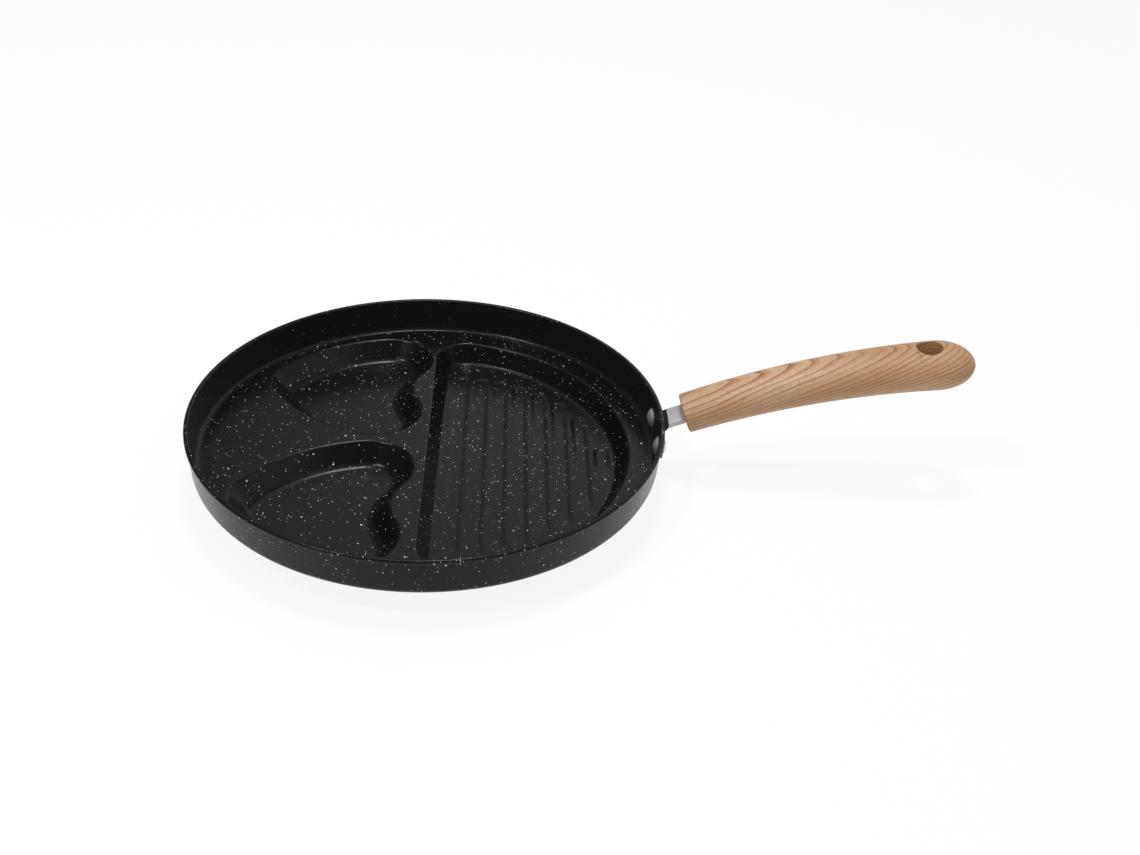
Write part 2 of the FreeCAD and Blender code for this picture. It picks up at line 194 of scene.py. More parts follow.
pan = {
    "rimRadius": 140.0, "rimWidth": 2.8, "rimDepth": 2.7, "rimRound": 1.0, "rimCorner": 0.25,
    "height": 38.5, "plateau": 16.0, "base": 3.4, "skin": 1.8, "wallDraft": 2.5,
    "innerFoot": 3.0, "outerFoot": 4.5, "underLip": 0.3, "underRound": 4.0,
    "flatBand": 0.06,  # the level band left beyond a rounding
    "turnSteps": 256, "rimSteps": 6, "wellSteps": 7, "smoothAngle": 35,
}
heart = {
    "places": [(-32.7, 63.0), (-36.3, -60.3)], "turn": -2.75,
    "draft": 38.0, "lipRound": 2.7, "footRound": 7.0,
    "lobeRadius": 27.1, "lobeOffset": 31.0, "notchRadius": 30.0,
    "tipRadius": 22.5, "tipDistance": 49.5, "sideRadius": 99.2,
}
grill = {
    "draft": 27.0, "lipRound": 2.0, "footRound": 3.5,
    "radius": 120.3, "edge": -1.2, "corner": 20.0,
    "reach": 93.6, "reachCentre": 16.5,  # the arc that the valleys end on
    "valleys": 8, "firstValley": 16.35, "valleyWidth": 7.9, "ribWidth": 4.79,
    "valleyDepths": (0.35, 0.7), "valleySlope": 2.4, "runOut": 9.0,
    "valleyCorner": 3.2, "valleyLip": 0.6, "valleyFoot": 0.6, "valleySteps": 3, "valleyTurn": 22,
}
wallSlope = math.tan(math.radians(pan["wallDraft"]))
wallAcross = pan["skin"] / math.cos(math.radians(pan["wallDraft"]))
plateauUnder = pan["plateau"] - pan["skin"]


def wallInside(height):
    return pan["rimRadius"] - pan["rimWidth"] - (pan["height"] - height) * wallSlope


def wallOutside(height):
    return wallInside(height) + wallAcross


def dishShell():
    # rim, wall and the foot of the wall, open where the plateau starts
    lipUnder = pan["height"] - pan["rimDepth"]
    flatStart = wallInside(plateauUnder) - pan["outerFoot"] - pan["flatBand"]
    corners = [
        (flatStart, pan["plateau"], 0),
        (wallInside(pan["plateau"]), pan["plateau"], pan["innerFoot"]),
        (pan["rimRadius"] - pan["rimWidth"], pan["height"], pan["rimRound"]),
        (pan["rimRadius"], pan["height"], pan["rimRound"]),
        (pan["rimRadius"], lipUnder, pan["rimRound"]),
        (wallOutside(lipUnder), lipUnder, pan["rimCorner"]),
        (wallOutside(plateauUnder), plateauUnder, pan["outerFoot"]),
        (flatStart, plateauUnder, 0),
    ]
    line = roundedLine(corners, pan["rimSteps"])
    piece = drawLine("dishShell", [Vector((across, 0, up)) * mm for across, up in line])
    bpy.ops.mesh.spin(steps=pan["turnSteps"], angle=fullTurn, center=(0, 0, 0), axis=upAxis)
    weldAll()
    settle(piece)
    return piece


def sweptWell(name, arcs, draft, top, bottom, lip, foot, outset):
    # the side of a well from its upper rounding to its level floor
    slope = math.tan(math.radians(draft))
    across = (pan["plateau"] - bottom) * slope - outset
    upper = (pan["plateau"] - top) * slope - outset
    tangent = math.tan(math.radians(90 - draft) / 2)
    corners = [
        (upper - lip * tangent - pan["flatBand"], top, 0),
        (upper, top, lip),
        (across, bottom, foot),
        (across + foot * tangent + pan["flatBand"], bottom, 0),
    ]
    (x, y), radius, start, turn = arcs[0]
    outward = Vector((math.cos(start), math.sin(start), 0))
    centre = Vector((x, y, 0))
    piece = drawLine(name, [
        (centre + outward * (radius - inset) + Vector((0, 0, up))) * mm
        for inset, up in roundedLine(corners, pan["wellSteps"])
    ])
    sweepRound(arcs)
    return piece


def well(name, arcs, shape, floorCuts=()):
    # inside and underside of one well, closed at their floors
    draft, lip, foot = shape["draft"], shape["lipRound"], shape["footRound"]
    inside = sweptWell(name, arcs, draft, pan["plateau"], pan["base"], lip, foot, 0.0)
    settle(inside)
    if floorCuts:
        inside = joinPieces([inside, *floorCuts], name)
    settle(inside)
    bpy.ops.object.mode_set(mode="EDIT")
    fillAt(pan["base"])
    settle(inside)
    outset = pan["skin"] / math.cos(math.radians(draft))
    lip, foot = pan["underLip"], pan["underRound"]
    outside = sweptWell(name + "Under", arcs, draft, plateauUnder, 0.0, lip, foot, outset)
    fillAt(0.0)
    settle(outside)
    return joinPieces([inside, outside], name)


def heading(start, end):
    return math.atan2(end[1] - start[1], end[0] - start[0])


def leftTurn(start, end):
    return (end - start) % fullTurn


def heartOutline():
    # six tangent arcs: two lobes, two sides, the tip and the notch
    lobe = (0.0, heart["lobeOffset"])
    lowerLobe = (0.0, -heart["lobeOffset"])
    tip = (-heart["tipDistance"], 0.0)
    reach = heart["lobeRadius"] + heart["notchRadius"]
    notch = (math.sqrt(reach ** 2 - heart["lobeOffset"] ** 2), 0.0)
    toLobe = heart["sideRadius"] - heart["lobeRadius"]
    toTip = heart["sideRadius"] - heart["tipRadius"]
    span = math.dist(lobe, tip)
    along = (toTip ** 2 - toLobe ** 2 + span ** 2) / (2 * span)
    aside = math.sqrt(toTip ** 2 - along ** 2)
    way = heading(tip, lobe)
    side = (
        tip[0] + along * math.cos(way) + aside * math.sin(way),
        tip[1] + along * math.sin(way) - aside * math.cos(way),
    )
    lowerSide = (side[0], -side[1])
    notchAngle = heading(lobe, notch)
    sideAngle = heading(side, lobe)
    tipAngle = heading(side, tip)
    return [
        (lobe, heart["lobeRadius"], notchAngle, leftTurn(notchAngle, sideAngle)),
        (side, heart["sideRadius"], sideAngle, leftTurn(sideAngle, tipAngle)),
        (tip, heart["tipRadius"], tipAngle, leftTurn(tipAngle, -tipAngle)),
        (lowerSide, heart["sideRadius"], -tipAngle, leftTurn(-tipAngle, -sideAngle)),
        (lowerLobe, heart["lobeRadius"], -sideAngle, leftTurn(-sideAngle, -notchAngle)),
        (notch, heart["notchRadius"], math.pi - notchAngle, 2 * notchAngle),
    ]


def grillOutline():
    # the D: one large arc and two corners, with the straight divider between them
    cornerX = grill["edge"] + grill["corner"]
    cornerY = math.sqrt((grill["radius"] - grill["corner"]) ** 2 - cornerX ** 2)
    roundAngle = heading((0, 0), (cornerX, cornerY))
    return [
        ((0.0, 0.0), grill["radius"], -roundAngle, 2 * roundAngle),
        ((cornerX, cornerY), grill["corner"], roundAngle, math.pi - roundAngle),
        ((cornerX, -cornerY), grill["corner"], math.pi, math.pi - roundAngle),
    ]


def valleyHalfLength(x):
    outer = x + grill["valleyWidth"] / 2 - grill["reachCentre"]
    return math.sqrt(grill["reach"] ** 2 - outer ** 2)


def valleyOutline(x, halfLength):
    corner = grill["valleyCorner"]
    halfX = grill["valleyWidth"] / 2 - corner
    halfY = halfLength - corner
    quarter = math.pi / 2
    sides = [(1, 1), (-1, 1), (-1, -1), (1, -1)]
    return [
        ((x + halfX * sideX, halfY * sideY), corner, index * quarter, quarter)
        for index, (sideX, sideY) in enumerate(sides)
    ]


def valley(index):
    # one groove of the grill floor, open at its top edge
    x = grill["firstValley"] + index * (grill["valleyWidth"] + grill["ribWidth"])
    halfLength = valleyHalfLength(x)
    arcs = valleyOutline(x, halfLength)
    least, most = grill["valleyDepths"]
    depth = least + (most - least) * index / (grill["valleys"] - 1)  # they fade towards the divider
    half = grill["valleySlope"] / 2
    top, bottom = pan["base"], pan["base"] - depth
    corners = [
        (-half - grill["valleyLip"], top, 0),
        (-half, top, grill["valleyLip"]),
        (half, bottom, grill["valleyFoot"]),
        (half + grill["valleyFoot"], bottom, 0),
    ]
    line = roundedLine(corners, grill["valleySteps"])
    (startX, startY), corner = arcs[0][:2]
    start = Vector((startX + corner, startY, 0))
    piece = drawLine("valley", [(start + Vector((-inset, 0, up))) * mm for inset, up in line])
    sweepRound(arcs, finest=grill["valleyTurn"])
    rear = (x * mm, halfLength * mm, 0)
    barelyBelow = top - 0.001
    for height in sorted({round(up, 5) for inset, up in line if up < barelyBelow}):
        # the lower a level lies, the earlier it ends at the front
        selectEdges(lambda edge: atHeight(edge, height))
        shorter = (top - height) / depth * grill["runOut"] / (2 * halfLength)
        bpy.ops.transform.resize(value=(1, 1 - shorter, 1), center_override=rear)
    selectOpenAt(bottom)
    bpy.ops.mesh.edge_face_add()
    settle(piece)
    return piece


def panBody():
    parts = [dishShell()]
    parts.append(well("heartWell", heartOutline(), heart))
    parts.append(copyPiece(parts[1], "heartWellCopy"))
    for piece, (x, y) in zip(parts[1:], heart["places"]):
        piece.location = (x * mm, y * mm, 0)
        piece.rotation_euler.z = math.radians(heart["turn"])
        settle(piece)
    valleys = [valley(index) for index in range(grill["valleys"])]
    parts.append(well("grillWell", grillOutline(), grill, valleys))
    body = joinPieces(parts, "panBody")
    bpy.ops.object.mode_set(mode="EDIT")
    fillAt(pan["plateau"])
    fillAt(plateauUnder)
    faceOutward()
    smoothOver(body, pan["smoothAngle"])
    return body


# Handle bracket

bracket = {
    "thickness": 2.9, "width": 16.8, "rise": 22.4, "bend": 2.0, "tang": 40.0, "intoPad": 1.0,
    "padThickness": 1.7, "padWidth": 45.0, "padHeight": 13.6, "padCorner": 4.0, "padBelowRim": 5.6,
    "seat": 0.06, "edge": 0.35, "sharpAngle": 50, "smoothAngle": 30,
    "bendSteps": 8, "padSteps": 10, "cornerSegments": 5, "edgeSegments": 2,
}


def toHandleTurn(piece):
    settle(piece)
    piece.rotation_euler.z = math.radians(grip["turn"])
    settle(piece)


def roundBracketEdges():
    def sharp(edge):
        return isSharp(edge, bracket["sharpAngle"])

    bevelEdges(sharp, bracket["edge"], bracket["edgeSegments"])


def strap():
    rise = math.radians(bracket["rise"])
    along, upward = gripAxes(rise)
    top = pan["height"] - bracket["padBelowRim"]
    frontX, frontZ = grip["front"]
    halfThick, halfWide = bracket["thickness"] / 2, bracket["width"] / 2
    legX = wallOutside(top) + bracket["seat"] + halfThick
    legStart = top - bracket["intoPad"]
    cornerZ = frontZ - (frontX - legX) * math.tan(rise)
    turn = math.pi / 2 - rise
    radius = bracket["bend"] + halfThick
    bendZ = cornerZ - radius * math.tan(turn / 2)
    corners = [(-1, -1), (1, -1), (1, 1), (-1, 1), (-1, -1)]
    piece = drawLine("strap", [
        Vector((legX + x * halfThick, y * halfWide, legStart)) * mm for x, y in corners])
    weldAll()
    extrudeBy((0, 0, (bendZ - legStart) * mm))
    bend = Vector((legX + radius, 0, bendZ)) * mm
    bpy.ops.mesh.spin(steps=bracket["bendSteps"], angle=-turn, center=bend, axis=(0, 1, 0))
    tip = (gripFront() + along * bracket["tang"]) * mm
    extrudeBy(tip - (bend + upward * radius * mm))
    closeStrip()
    roundBracketEdges()
    settle(piece)
    return piece


def pad():
    # the plate that follows the outside of the wall
    top = pan["height"] - bracket["padBelowRim"]
    bottom = top - bracket["padHeight"]
    corners = []
    for height, outer in ((bottom, 0), (top, 0), (top, 1), (bottom, 1), (bottom, 0)):
        radius = wallOutside(height) + bracket["seat"] + outer * bracket["padThickness"]
        corners.append((radius, height))
    half = math.asin(bracket["padWidth"] / 2 / corners[2][0])
    piece = drawLine("pad", [
        Vector((radius * math.cos(half), -radius * math.sin(half), height)) * mm
        for radius, height in corners])
    weldAll()
    bpy.ops.mesh.spin(steps=bracket["padSteps"], angle=-2 * half, center=(0, 0, 0), axis=upAxis)
    closeStrip()
    longest = 1.1 * bracket["padThickness"] * mm  # just over the pad's thickness
    farthest = 0.99 * math.sin(half) * corners[0][0] * mm  # just short of the pad's ends

    def atCorner(edge):
        atEnd = all(abs(corner.co.y) > farthest for corner in edge.verts)
        return atEnd and edge.calc_length() < longest

    bevelEdges(atCorner, bracket["padCorner"], bracket["cornerSegments"])
    roundBracketEdges()
    settle(piece)
    return piece


def handleBracket():
    piece = joinPieces([pad(), strap()], "handleBracket")
    toHandleTurn(piece)
    smoothOver(piece, bracket["smoothAngle"])
    return piece


# Rivets

rivetSizes = {
    "spread": 13.0, "belowRim": 13.2, "head": (12.0, 2.6), "end": (8.4, 1.7), "shank": 5.0,
    "seat": 0.06, "padThickness": 2.2,  # the solid's pad, so that the rivet keeps its length
    "domeSteps": 10, "turnSteps": 40, "smoothAngle": 40,
}


def domeLine(size, seat, way):
    # from the middle of a dome out to its edge, along the rivet
    radius, rise = size[0] / 2, size[1]
    ball = (radius ** 2 + rise ** 2) / (2 * rise)
    most = math.asin(radius / ball)
    points = []
    for step in range(rivetSizes["domeSteps"] + 1):
        angle = most * step / rivetSizes["domeSteps"]
        points.append((seat + way * (ball * math.cos(angle) - ball + rise), ball * math.sin(angle)))
    return points


def rivet(name, side):
    height = pan["height"] - rivetSizes["belowRim"]
    inside = wallInside(height)
    headRadius = rivetSizes["head"][0] / 2
    headSeat = inside - headRadius ** 2 / (2 * inside) - rivetSizes["seat"]
    endSeat = wallOutside(height) + 2 * rivetSizes["seat"] + rivetSizes["padThickness"]
    shank = rivetSizes["shank"] / 2
    line = domeLine(rivetSizes["head"], headSeat, -1)
    line += [(headSeat, shank), (endSeat, shank)]
    line += domeLine(rivetSizes["end"], endSeat, 1)[::-1]
    piece = drawLine(name, [Vector((x, 0, z)) * mm for x, z in line])
    steps = rivetSizes["turnSteps"]
    bpy.ops.mesh.spin(steps=steps, angle=fullTurn, center=(0, 0, 0), axis=(1, 0, 0))
    weldAll()
    faceOutward()
    settle(piece)
    onWall = Vector((inside, 0, 0)) * mm
    lean = Matrix.Translation(onWall) @ Matrix.Rotation(math.radians(pan["wallDraft"]), 4, "Y")
    around = math.radians(side * rivetSizes["spread"] / 2 + grip["turn"])
    lift = Matrix.Translation((0, 0, height * mm))
    piece.matrix_world = Matrix.Rotation(around, 4, "Z") @ lift @ lean @ Matrix.Translation(-onWall)
    smoothOver(piece, rivetSizes["smoothAngle"])
    return piece


# Wooden grip

grip = {
    "front": (152.5, 38.95), "arch": 548.7, "length": 175.0, "turn": 1.0,
    "frontSize": (29.0, 21.4), "backSize": (36.3, 26.9), "end": 23.0, "frontRound": 1.2,
    "hole": 15.4, "holeFromEnd": 28.0, "holeEdge": 0.5, "slotGap": 0.2,
    "sides": 72, "lengthSteps": 34, "endAngles": (*range(8, 81, 8), 84, 87),
    "frontSegments": 4, "holeSegments": 3, "sharpAngle": 35, "smoothAngle": 32,
    "holeCut": 60.0, "slotPast": 1.0,  # the cutters stand out of the wood
}
screw = {
    "fromFront": 20.0, "head": 7.0, "sunk": 0.5, "headHigh": 2.2, "gap": 0.1,
    "cutPast": 6.0, "sides": 40,
}


def gripFront():
    return Vector((grip["front"][0], 0, grip["front"][1]))


def gripAxes(rise):
    along = Vector((math.cos(rise), 0, math.sin(rise)))
    upward = Vector((-math.sin(rise), 0, math.cos(rise)))
    return along, upward


def gripStation(distance):
    # place, rise and half sizes of the oval at a distance along the grip
    start = math.radians(bracket["rise"])
    rise = start - distance / grip["arch"]
    x = grip["front"][0] + grip["arch"] * (math.sin(start) - math.sin(rise))
    z = grip["front"][1] + grip["arch"] * (math.cos(rise) - math.cos(start))
    grownEnd = grip["length"] - grip["end"]
    share = min(1.0, distance / grownEnd)
    intoEnd = max(0.0, distance - grownEnd) / grip["end"]
    narrowing = math.sqrt(1 - intoEnd ** 2)
    pairs = zip(grip["frontSize"], grip["backSize"])
    sizes = [(front + (back - front) * share) / 2 * narrowing for front, back in pairs]
    return Vector((x, 0, z)), rise, sizes


def gripDistances():
    # even steps along the grip, then closer ones round its half-oval end
    grownEnd = grip["length"] - grip["end"]
    steps = grip["lengthSteps"]
    distances = [grownEnd * step / steps for step in range(1, steps + 1)]
    for angle in grip["endAngles"]:
        distances.append(grownEnd + grip["end"] * math.sin(math.radians(angle)))
    return distances


def gripShape():
    place, rise, (halfWide, halfHigh) = gripStation(0)
    along, upward = gripAxes(rise)
    facing = Matrix((Vector((0, 1, 0)), upward, along)).transposed().to_euler()
    bpy.ops.mesh.primitive_circle_add(
        vertices=grip["sides"], radius=mm, fill_type="NGON", location=place * mm, rotation=facing)
    piece = bpy.context.object
    piece.name = "grip"
    piece.scale = (halfWide, halfHigh, 1)
    settle(piece)
    bpy.ops.object.mode_set(mode="EDIT")
    bpy.ops.mesh.select_all(action="SELECT")
    for distance in gripDistances():
        following, newRise, newSizes = gripStation(distance)
        centre = following * mm
        extrudeBy((following - place) * mm)
        growth = (newSizes[0] / halfWide + newSizes[1] / halfHigh) / 2
        bpy.ops.transform.resize(value=(growth, growth, growth), center_override=centre)
        bpy.ops.transform.rotate(value=newRise - rise, orient_axis="Y", center_override=centre)
        place, rise, (halfWide, halfHigh) = following, newRise, newSizes
    bpy.ops.mesh.merge(type="CENTER")
    faceOutward()
    front = gripFront() * mm
    near = 0.01 * mm

    def atFront(edge):
        return all(abs((corner.co - front).dot(along)) < near for corner in edge.verts)

    bevelEdges(atFront, grip["frontRound"], grip["frontSegments"])
    settle(piece)
    return piece


def cutWith(piece, cutter):
    settle(cutter)
    settle(piece)
    bpy.ops.object.modifier_add(type="BOOLEAN")
    change = piece.modifiers[-1]
    change.operation = "DIFFERENCE"
    change.solver = "EXACT"
    change.object = cutter
    bpy.ops.object.modifier_apply(modifier=change.name)
    bpy.data.objects.remove(cutter)


def drill(middle, upward, radius, depth, sides):
    bpy.ops.mesh.primitive_cylinder_add(
        vertices=sides, radius=radius * mm, depth=depth * mm, location=middle * mm,
        rotation=upward.to_track_quat("Z", "Y").to_euler())
    return bpy.context.object


def holeAxis():
    middle, rise, sizes = gripStation(grip["length"] - grip["holeFromEnd"])
    return middle, gripAxes(rise)[1]


def hangHoleCutter():
    return drill(*holeAxis(), grip["hole"] / 2, grip["holeCut"], grip["sides"])


def slotCutter():
    rise = math.radians(bracket["rise"])
    length = bracket["tang"] + grip["slotGap"] + grip["slotPast"]
    middle = gripFront() + gripAxes(rise)[0] * (length / 2 - grip["slotPast"])
    bpy.ops.mesh.primitive_cube_add(size=mm, location=middle * mm, rotation=(0, -rise, 0))
    cutter = bpy.context.object
    gap = 2 * grip["slotGap"]
    cutter.scale = (length, bracket["width"] + gap, bracket["thickness"] + gap)
    return cutter


def screwHoleCutter():
    along, upward = gripAxes(math.radians(bracket["rise"]))
    halfHigh = gripStation(screw["fromFront"])[2][1]
    outerFace = screw["sunk"] - halfHigh
    deep = outerFace + screw["headHigh"]
    low = outerFace - screw["cutPast"]
    middle = gripFront() + along * screw["fromFront"] + upward * (deep + low) / 2
    return drill(middle, upward, screw["head"] / 2 + screw["gap"], deep - low, screw["sides"])


def woodenGrip():
    piece = gripShape()
    for cutter in (hangHoleCutter(), slotCutter(), screwHoleCutter()):
        cutWith(piece, cutter)
    middle, upward = holeAxis()
    near = 0.05 * mm

    def onHole(edge):
        # on the rim of the hang hole
        for corner in edge.verts:
            offset = corner.co - middle * mm
            across = (offset - upward * offset.dot(upward)).length
            if abs(across - grip["hole"] / 2 * mm) > near:
                return False
        return isSharp(edge, grip["sharpAngle"])

    settle(piece)
    bpy.ops.object.mode_set(mode="EDIT")
    bevelEdges(onHole, grip["holeEdge"], grip["holeSegments"])
    toHandleTurn(piece)
    piece.name = "woodenGrip"
    smoothOver(piece, grip["smoothAngle"])
    return piece


# Finishes

class Signal:
    # one output of a node tree, with the arithmetic that the finishes use
    def __init__(self, finish, socket):
        self.finish = finish
        self.socket = socket

    def worked(self, operation, *values):
        return self.finish.add("ShaderNodeMath", {"operation": operation}, dict(enumerate(values)))

    def __add__(self, other):
        return self.worked("ADD", self, other)

    def __radd__(self, other):
        return self.worked("ADD", other, self)

    def __sub__(self, other):
        return self.worked("SUBTRACT", self, other)

    def __rsub__(self, other):
        return self.worked("SUBTRACT", other, self)

    def __mul__(self, other):
        return self.worked("MULTIPLY", self, other)

    def __rmul__(self, other):
        return self.worked("MULTIPLY", other, self)

    def __truediv__(self, other):
        return self.worked("DIVIDE", self, other)

    def __rtruediv__(self, other):
        return self.worked("DIVIDE", other, self)

    def power(self, other):
        return self.worked("POWER", self, other)

    def larger(self, other):
        return self.worked("MAXIMUM", self, other)

    def fraction(self):
        return self.worked("FRACT", self)

    def whole(self):
        return self.worked("FLOOR", self)

    def clamped(self):
        return self.finish.add("ShaderNodeClamp", {}, {"Value": self})

    def between(self, low, high):
        # 0 up to the low value, 1 from the high one
        return ((self - low) / (high - low)).clamped()

    def spread(self, low, high):
        # the low value at 0, the high one at 1
        return low + (high - low) * self


class Finish:
    # a material's or the world's node tree
    def __init__(self, name, world=None):
        self.holder = world or bpy.data.materials.new(name)
        self.holder.use_nodes = True
        self.tree = self.holder.node_tree
        self.tree.nodes.clear()

    def add(self, kind, settings, inputs, output=0):
        node = self.tree.nodes.new(kind)
        for key, value in settings.items():
            setattr(node, key, value)
        for key, value in inputs.items():
            if isinstance(value, Signal):
                self.tree.links.new(value.socket, node.inputs[key])
            else:
                node.inputs[key].default_value = value
        return Signal(self, node.outputs[output]) if node.outputs else node

    def place(self, scale=(1, 1, 1)):
        coordinates = self.add("ShaderNodeTexCoord", {}, {}, "Object")
        return self.add("ShaderNodeMapping", {}, {"Vector": coordinates, "Scale": scale})

    def part(self, vector, axis):
        return self.add("ShaderNodeSeparateXYZ", {}, {"Vector": vector}, axis)

    def join(self, x, y, z):
        return self.add("ShaderNodeCombineXYZ", {}, {0: x, 1: y, 2: z})

    def vectorMath(self, operation, *vectors):
        inputs = dict(enumerate(vectors))
        return self.add("ShaderNodeVectorMath", {"operation": operation}, inputs, "Value")

    def noise(self, vector, scale=1.0, detail=2.0):
        inputs = {"Vector": vector, "Scale": scale, "Detail": detail}
        return self.add("ShaderNodeTexNoise", {}, inputs)

    def mix(self, factor, first, second):
        return self.add("ShaderNodeMix", {"data_type": "RGBA"}, {0: factor, 6: first, 7: second}, 2)

    def bump(self, height, deep, strength):
        inputs = {"Height": height, "Distance": deep * mm, "Strength": strength}
        return self.add("ShaderNodeBump", {}, inputs)

    def surface(self, fixed, varying):
        shader = self.add("ShaderNodeBsdfPrincipled", {}, {**fixed, **varying})
        self.add("ShaderNodeOutputMaterial", {}, {"Surface": shader})
        return self.holder


def plain(red, green, blue):
    # screen values from 0 to 255 as a colour of light
    return tuple(((value / 255 + 0.055) / 1.055) ** 2.4 for value in (red, green, blue)) + (1,)


coating = {
    "dark": (0.0042, 0.0040, 0.0042, 1), "light": (0.0074, 0.0071, 0.0074, 1),
    # the wall tone is painted light: the inside of the wall is made lighter than the floors, for the
    # light that falls on it from the front
    "wall": (0.0155, 0.0148, 0.0155, 1), "speck": (0.86, 0.87, 0.88, 1),
    "wallStart": (135.0, 135.8), "wallEnd": (137.2, 137.5),  # radii of the inside of the wall
    "roughness": (0.22, 0.29), "specular": 0.175,
    "fineSpecks": {"cell": 1.6, "size": 0.38, "share": 0.52},
    "largeSpecks": {"cell": 5.6, "size": 0.66, "share": 0.5},
    "fewerOnWall": 0.2, "speckShades": (0.45, 1.0), "speckEdge": 0.08,
    "cloud": 40.0, "grit": 1500.0, "gloss": 220.0,
    "gritHeight": 0.5, "speckHeight": 0.6, "relief": (0.07, 0.5),
}


def specks(finish, onWall, cell, size, share):
    # round grains of random size in a random share of the cells
    values = {"Vector": finish.place(), "Scale": 1 / (cell * mm)}
    distance = finish.add("ShaderNodeTexVoronoi", {}, values, "Distance")
    tint = finish.add("ShaderNodeTexVoronoi", {}, values, "Color")
    chance = finish.add("ShaderNodeSeparateColor", {}, {"Color": tint}, 0)
    shade = finish.add("ShaderNodeSeparateColor", {}, {"Color": tint}, 1)
    reach = (chance - (1 - share) - coating["fewerOnWall"] * onWall) / share * (size / cell)
    mask = ((reach - distance) * (cell / coating["speckEdge"])).clamped()
    return mask * shade.spread(*coating["speckShades"])


def coatingFinish():
    finish = Finish("speckledCoating")
    place = finish.place()
    level = finish.join(finish.part(place, 0), finish.part(place, 1), 0.0)
    across = finish.vectorMath("LENGTH", level)
    start, end = ([radius * mm for radius in coating[key]] for key in ("wallStart", "wallEnd"))
    onWall = across.between(*start) * (1 - across.between(*end))
    fine = specks(finish, onWall, **coating["fineSpecks"])
    large = specks(finish, onWall, **coating["largeSpecks"])
    grains = fine.larger(large)
    cloud = finish.noise(place, coating["cloud"], detail=3.0)
    grit = finish.noise(place, coating["grit"])
    ground = finish.mix(cloud, coating["dark"], coating["light"])
    # painted light: the inside of the wall gets the lighter wall tone
    ground = finish.mix(onWall, ground, coating["wall"])
    height = grit * coating["gritHeight"] + grains * coating["speckHeight"]
    return finish.surface({"Specular IOR Level": coating["specular"]}, {
        "Base Color": finish.mix(grains, ground, coating["speck"]),
        "Roughness": finish.noise(place, coating["gloss"]).spread(*coating["roughness"]),
        "Normal": finish.bump(height, *coating["relief"]),
    })


steel = {
    # the strap's root is painted black out to a radius from the rim: painted shade, for the rim's
    # shadow and dark reflection on it, with a fade and a ragged edge
    "shadeEnd": 142.6, "shadeFade": 0.25, "ragged": 0.8, "rootShade": (0.008, 0.008, 0.008, 1),
    "dull": (0.50, 0.495, 0.505, 1), "bright": (0.56, 0.555, 0.565, 1),
    "roughness": (0.42, 0.56), "metallic": 0.3, "specular": 0.35,
    "brushing": (900.0, 60.0, 900.0), "edgeNoise": 700.0, "relief": (0.02, 0.3),
}


def steelFinish():
    # matt strip, with painted shade in black where it leaves the rim, for the rim's shadow and dark
    # reflection on the strap's root
    finish = Finish("stripSteel")
    place = finish.place()
    brushed = finish.noise(finish.place(steel["brushing"]), detail=3.0)
    edge = finish.noise(place, steel["edgeNoise"])
    out = finish.part(place, 0) + steel["ragged"] * mm * (edge - 0.5)
    # painted shade: black up to a ragged line out from the rim, then the steel's own tone
    unshaded = out.between(steel["shadeEnd"] * mm, (steel["shadeEnd"] + steel["shadeFade"]) * mm)
    tone = finish.mix(brushed, steel["dull"], steel["bright"])
    return finish.surface({"Specular IOR Level": steel["specular"]}, {
        "Base Color": finish.mix(unshaded, steel["rootShade"], tone),
        "Roughness": brushed.spread(*steel["roughness"]),
        "Metallic": unshaded * steel["metallic"],
        "Normal": finish.bump(brushed, *steel["relief"]),
    })


rivetMetal = {
    "dull": (0.86, 0.86, 0.87, 1), "bright": (0.95, 0.95, 0.96, 1), "roughness": (0.16, 0.30),
    "metallic": 0.78, "smudges": 260.0, "scratches": (300.0, 300.0, 2600.0), "relief": (0.01, 0.25),
}


def rivetFinish():
    finish = Finish("rivetMetal")
    smudge = finish.noise(finish.place(), rivetMetal["smudges"], detail=3.0)
    scratch = finish.noise(finish.place(rivetMetal["scratches"]))
    return finish.surface({"Metallic": rivetMetal["metallic"]}, {
        "Base Color": finish.mix(smudge, rivetMetal["dull"], rivetMetal["bright"]),
        "Roughness": smudge.spread(*rivetMetal["roughness"]),
        "Normal": finish.bump(scratch, *rivetMetal["relief"]),
    })


screwMetal = {
    "dull": (0.42, 0.42, 0.43, 1), "bright": (0.62, 0.62, 0.63, 1), "roughness": (0.25, 0.45),
    "turning": (1500.0, 1500.0, 200.0), "stains": 400.0, "relief": (0.01, 0.3),
}


def screwFinish():
    finish = Finish("screwMetal")
    turned = finish.noise(finish.place(screwMetal["turning"]), detail=3.0)
    stain = finish.noise(finish.place(), screwMetal["stains"])
    return finish.surface({"Metallic": 1.0}, {
        "Base Color": finish.mix(stain, screwMetal["dull"], screwMetal["bright"]),
        "Roughness": turned.spread(*screwMetal["roughness"]),
        "Normal": finish.bump(turned, *screwMetal["relief"]),
    })


